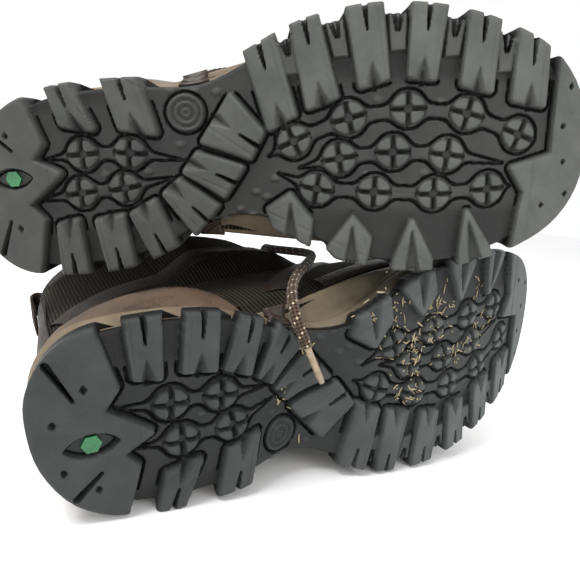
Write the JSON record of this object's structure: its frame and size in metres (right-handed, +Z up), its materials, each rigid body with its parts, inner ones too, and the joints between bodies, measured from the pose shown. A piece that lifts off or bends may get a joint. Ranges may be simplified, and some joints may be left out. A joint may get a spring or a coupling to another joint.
{
  "type": "hiking boots",
  "caption": "Pair of mid-height laced hiking boots lying on their sides, with deep lugged rubber soles, foam midsoles, leather and mesh uppers, tongues and laces.",
  "frame": {"origin": "centre of the pair's footprint on the floor, under the lowest point of the left boot", "axes": "+Z up, +X along the longest extent, roughly from heels to toes, +Y towards the legs' openings"},
  "size_m": [0.3142, 0.2638, 0.2252],
  "materials": {
    "brown_block": "dark brown moulded plastic",
    "collar_cloth": "soft padded collar",
    "dark_metal": "dark antique metal",
    "footbed_foam": "foam footbed with cloth top",
    "brown_leather": "worn oiled leather",
    "green_gem": "green translucent moulded plastic",
    "stiffener": "thermoplastic stiffener sheet",
    "dark_leather": "dark leather strip",
    "lace_braid": "round braid, brown with cream flecks",
    "aglet_film": "clear film sleeve over the braid",
    "board": "pressed fibre board",
    "dark_textile": "ribbed mesh textile",
    "lining_cloth": "knitted lining",
    "khaki_foam": "moulded EVA foam, khaki, scuffed",
    "outsole_rubber": "moulded carbon rubber, fine grain, worn",
    "webbing": "woven tape",
    "steel_shank": "spring steel strip",
    "tongue_cloth": "padded textile tongue"
  },
  "bodies": {
    "left_boot": {"left_arch_block": "brown_block", "left_collar_pad": "collar_cloth", "left_eyelets": "dark_metal", "left_footbed": "footbed_foam", "left_heel_counter": "brown_leather", "left_heel_gem": "green_gem", "left_heel_stiffener": "stiffener", "left_heel_strap": "dark_leather", "left_lace": "lace_braid", "left_lace_aglet": "aglet_film", "left_lace_end": "lace_braid", "left_lace_hooks": "dark_metal", "left_lasting_board": "board", "left_lateral_quarter": "dark_textile", "left_lining": "lining_cloth", "left_medial_quarter": "dark_textile", "left_midsole": "khaki_foam", "left_outsole": "outsole_rubber", "left_shank": "steel_shank", "left_toe_cap": "brown_leather", "left_toe_puff": "stiffener", "left_vamp": "brown_leather"},
    "left_tongue_body": {"left_tongue": "tongue_cloth"},
    "left_pull_loop_body": {"left_pull_loop": "webbing"},
    "right_boot": {"right_arch_block": "brown_block", "right_collar_pad": "collar_cloth", "right_eyelets": "dark_metal", "right_footbed": "footbed_foam", "right_heel_counter": "brown_leather", "right_heel_gem": "green_gem", "right_heel_stiffener": "stiffener", "right_heel_strap": "dark_leather", "right_lace": "lace_braid", "right_lace_hooks": "dark_metal", "right_lasting_board": "board", "right_lateral_quarter": "dark_textile", "right_lining": "lining_cloth", "right_medial_quarter": "dark_textile", "right_midsole": "khaki_foam", "right_outsole": "outsole_rubber", "right_shank": "steel_shank", "right_toe_cap": "brown_leather", "right_toe_puff": "stiffener", "right_vamp": "brown_leather"},
    "right_tongue_body": {"right_tongue": "tongue_cloth"},
    "right_pull_loop_body": {"right_pull_loop": "webbing"}
  },
  "joints": [
    {"name": "right_boot_lift", "type": "slide", "parent": "left_boot", "child": "right_boot", "axis": [0, 0, 1], "range_m": [0, 0.16]},
    {"name": "left_tongue_tilt", "type": "hinge", "parent": "left_boot", "child": "left_tongue_body", "pos_m": [0.0433, 0.05125, 0.06462], "axis": [-0.1189, -0.1117, 0.9866], "range_deg": [0, 8]},
    {"name": "left_pull_loop_swing", "type": "hinge", "parent": "left_boot", "child": "left_pull_loop_body", "pos_m": [-0.14028, 0.00034, 0.0428], "axis": [-0.1189, -0.1117, 0.9866], "range_deg": [0, 30]},
    {"name": "right_tongue_tilt", "type": "hinge", "parent": "right_boot", "child": "right_tongue_body", "pos_m": [0.04675, 0.03246, 0.177], "axis": [-0.2079, -0.102, 0.9728], "range_deg": [0, 8]},
    {"name": "right_pull_loop_swing", "type": "hinge", "parent": "right_boot", "child": "right_pull_loop_body", "pos_m": [-0.13038, 0.0957, 0.13962], "axis": [-0.2079, -0.102, 0.9728], "range_deg": [0, 30]}
  ]
}
